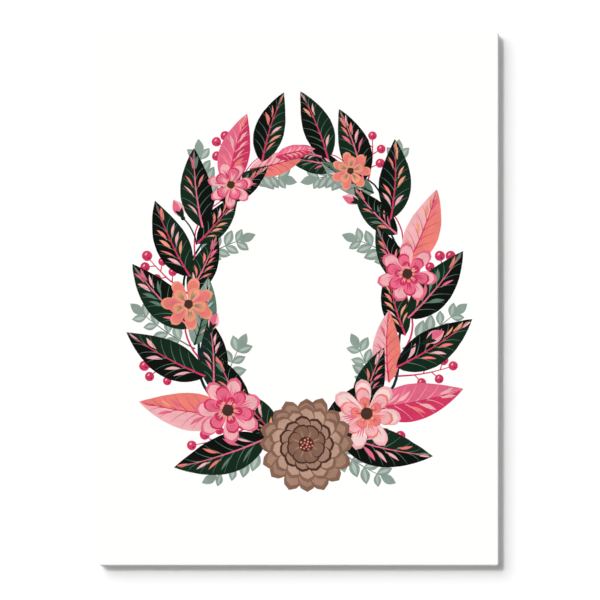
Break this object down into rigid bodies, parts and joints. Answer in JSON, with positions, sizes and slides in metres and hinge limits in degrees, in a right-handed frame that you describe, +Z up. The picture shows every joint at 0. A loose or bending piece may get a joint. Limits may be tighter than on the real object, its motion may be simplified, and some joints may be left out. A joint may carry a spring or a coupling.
{
  "type": "stretched canvas print",
  "caption": "Frameless stretched canvas print with a botanical design, its white edges wrapped round a keyed pine frame, hung by a sawtooth hanger.",
  "frame": {"origin": "the hang point: the top of the hanger's middle notch, halfway through its raised plate, where the wall nail carries the picture", "axes": "+X to the right as seen from the front, +Y from the printed face towards the wall, +Z up"},
  "size_m": [0.4572, 0.0216, 0.6096],
  "materials": {
    "printed_canvas": "matt white primer over a plain cotton weave, printed on the front",
    "pine": "planed, bare, with grain along each bar",
    "beech": "sawn and bare",
    "staple_wire": "galvanised wire, slightly dull",
    "zinc_steel": "pressed sheet, zinc plated",
    "felt": "pressed wool felt, matt"
  },
  "bodies": {
    "root": {"bar_bottom": "pine", "bar_left": "pine", "bar_right": "pine", "bar_top": "pine", "bumper_left": "felt", "bumper_right": "felt", "canvas": "printed_canvas", "hanger": "zinc_steel", "hanger_nail_left": "zinc_steel", "hanger_nail_right": "zinc_steel", "key_bottom_1": "beech", "key_bottom_2": "beech", "key_left_1": "beech", "key_left_2": "beech", "key_right_1": "beech", "key_right_2": "beech", "key_top_1": "beech", "key_top_2": "beech", "staple_bottom_1": "staple_wire", "staple_bottom_2": "staple_wire", "staple_bottom_3": "staple_wire", "staple_bottom_4": "staple_wire", "staple_bottom_5": "staple_wire", "staple_bottom_6": "staple_wire", "staple_corner_bottom_left": "staple_wire", "staple_corner_bottom_right": "staple_wire", "staple_corner_top_left": "staple_wire", "staple_corner_top_right": "staple_wire", "staple_left_1": "staple_wire", "staple_left_2": "staple_wire", "staple_left_3": "staple_wire", "staple_left_4": "staple_wire", "staple_left_5": "staple_wire", "staple_left_6": "staple_wire", "staple_left_7": "staple_wire", "staple_left_8": "staple_wire", "staple_right_1": "staple_wire", "staple_right_2": "staple_wire", "staple_right_3": "staple_wire", "staple_right_4": "staple_wire", "staple_right_5": "staple_wire", "staple_right_6": "staple_wire", "staple_right_7": "staple_wire", "staple_right_8": "staple_wire", "staple_top_1": "staple_wire", "staple_top_2": "staple_wire", "staple_top_3": "staple_wire", "staple_top_4": "staple_wire", "staple_top_5": "staple_wire", "staple_top_6": "staple_wire"}
  },
  "joints": []
}
